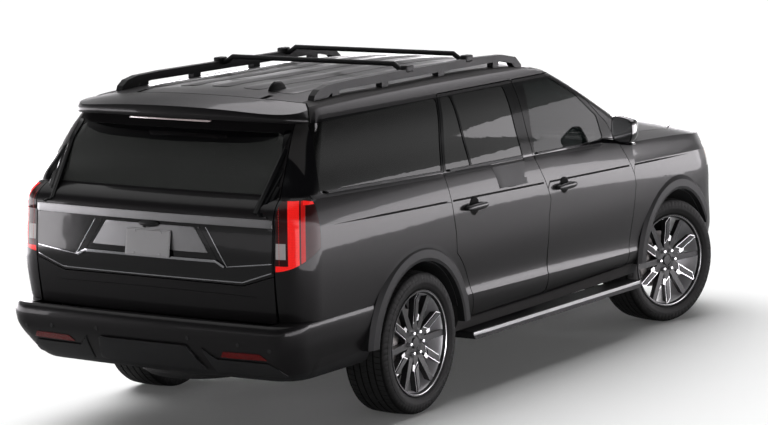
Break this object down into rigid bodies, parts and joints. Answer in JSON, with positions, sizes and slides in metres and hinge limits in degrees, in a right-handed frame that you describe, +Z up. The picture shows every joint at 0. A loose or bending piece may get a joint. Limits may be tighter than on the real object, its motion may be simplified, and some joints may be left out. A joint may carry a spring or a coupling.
{
  "type": "long-wheelbase sport utility vehicle",
  "caption": "Large long-wheelbase sport utility vehicle with hinged doors, hood and split tailgate, roof rack, running boards, steered front wheels and rows of seats.",
  "frame": {"origin": "on the ground under the middle of the overall length and width", "axes": "+X towards the front of the vehicle, +Y to its left, +Z up"},
  "size_m": [5.6361, 2.3806, 2.0029],
  "materials": {
    "paint": "dark metallic",
    "gloss_black": "gloss",
    "black_plastic": "fine grain",
    "tinted_glass": "dark tint",
    "clear_glass": "light tint",
    "lamp_red": "smoked lens",
    "lamp_clear": "clear lens",
    "alloy": "dark with machined edges",
    "steel": "satin black",
    "cast_metal": "cast",
    "tyre": "tyre rubber",
    "leather": "soft grain",
    "interior": "soft touch",
    "carpet": "carpet"
  },
  "bodies": {
    "body": {"chassis_frame": "steel", "engine_block": "cast_metal", "driveline": "cast_metal", "exhaust": "steel", "fuel_tank": "black_plastic", "spare_wheel": "tyre", "floor_pan": "carpet", "body_side_left": "paint", "body_side_right": "paint", "roof_panel": "paint", "windscreen": "clear_glass", "cowl": "black_plastic", "front_fenders": "paint", "front_bumper": "paint", "grille": "gloss_black", "headlamps": "lamp_clear", "rear_bumper": "paint", "tail_lamps": "lamp_red", "quarter_glass": "tinted_glass", "roof_rack": "gloss_black", "antenna_fin": "paint", "running_boards": "black_plastic", "dashboard": "interior", "seat_cushions": "leather", "seat_backs": "leather", "head_restraints": "leather", "wheel_liners": "black_plastic", "rear_axle": "cast_metal", "front_suspension": "cast_metal"},
    "front_door_right": {"front_door_right": "paint", "front_door_glass_right": "clear_glass", "mirror_right": "gloss_black"},
    "rear_door_right": {"rear_door_right": "paint", "rear_door_glass_right": "tinted_glass"},
    "front_door_left": {"front_door_left": "paint", "front_door_glass_left": "clear_glass", "mirror_left": "gloss_black"},
    "rear_door_left": {"rear_door_left": "paint", "rear_door_glass_left": "tinted_glass"},
    "hood": {"hood": "paint"},
    "liftgate": {"liftgate": "paint", "rear_glass": "tinted_glass"},
    "drop_gate": {"drop_gate": "paint"},
    "knuckle_right": {"front_knuckle_right": "cast_metal"},
    "front_wheel_right": {"front_wheel_right": "alloy", "front_tyre_right": "tyre"},
    "rear_wheel_right": {"rear_wheel_right": "alloy", "rear_tyre_right": "tyre"},
    "knuckle_left": {"front_knuckle_left": "cast_metal"},
    "front_wheel_left": {"front_wheel_left": "alloy", "front_tyre_left": "tyre"},
    "rear_wheel_left": {"rear_wheel_left": "alloy", "rear_tyre_left": "tyre"}
  },
  "joints": [
    {"name": "front_door_right_hinge", "type": "hinge", "parent": "body", "child": "front_door_right", "pos_m": [1.275, -1.014, 0.9], "axis": [0, 0, 1], "range_deg": [0, 62]},
    {"name": "rear_door_right_hinge", "type": "hinge", "parent": "body", "child": "rear_door_right", "pos_m": [0.092, -1.014, 0.9], "axis": [0, 0, 1], "range_deg": [0, 62]},
    {"name": "front_door_left_hinge", "type": "hinge", "parent": "body", "child": "front_door_left", "pos_m": [1.275, 1.014, 0.9], "axis": [0, 0, 1], "range_deg": [-62, 0]},
    {"name": "rear_door_left_hinge", "type": "hinge", "parent": "body", "child": "rear_door_left", "pos_m": [0.092, 1.014, 0.9], "axis": [0, 0, 1], "range_deg": [-62, 0]},
    {"name": "hood_hinge", "type": "hinge", "parent": "body", "child": "hood", "pos_m": [1.633, 0, 1.364], "axis": [0, -1, 0], "range_deg": [0, 48]},
    {"name": "liftgate_hinge", "type": "hinge", "parent": "body", "child": "liftgate", "pos_m": [-2.128, 0, 1.87], "axis": [0, 1, 0], "range_deg": [0, 78]},
    {"name": "drop_gate_hinge", "type": "hinge", "parent": "body", "child": "drop_gate", "pos_m": [-2.638, 0, 0.8], "axis": [0, -1, 0], "range_deg": [0, 88]},
    {"name": "steering_right", "type": "hinge", "parent": "body", "child": "knuckle_right", "pos_m": [1.89, -0.79, 0.419], "axis": [0, 0, 1], "range_deg": [-17.7, 52.3]},
    {"name": "front_wheel_right_spin", "type": "hinge", "parent": "knuckle_right", "child": "front_wheel_right", "pos_m": [1.87037, -0.85301, 0.419], "axis": [0.2974, 0.9548, 0], "continuous": true},
    {"name": "rear_wheel_right_spin", "type": "hinge", "parent": "body", "child": "rear_wheel_right", "pos_m": [-1.453, -0.856, 0.419], "axis": [0, 1, 0], "continuous": true},
    {"name": "steering_left", "type": "hinge", "parent": "body", "child": "knuckle_left", "pos_m": [1.89, 0.79, 0.419], "axis": [0, 0, 1], "range_deg": [-17.7, 52.3]},
    {"name": "front_wheel_left_spin", "type": "hinge", "parent": "knuckle_left", "child": "front_wheel_left", "pos_m": [1.90963, 0.85301, 0.419], "axis": [0.2974, 0.9548, 0], "continuous": true},
    {"name": "rear_wheel_left_spin", "type": "hinge", "parent": "body", "child": "rear_wheel_left", "pos_m": [-1.453, 0.856, 0.419], "axis": [0, 1, 0], "continuous": true}
  ],
  "couplings": [
    {"joint": "steering_right", "follows": "steering_left", "ratio": 1}
  ]
}
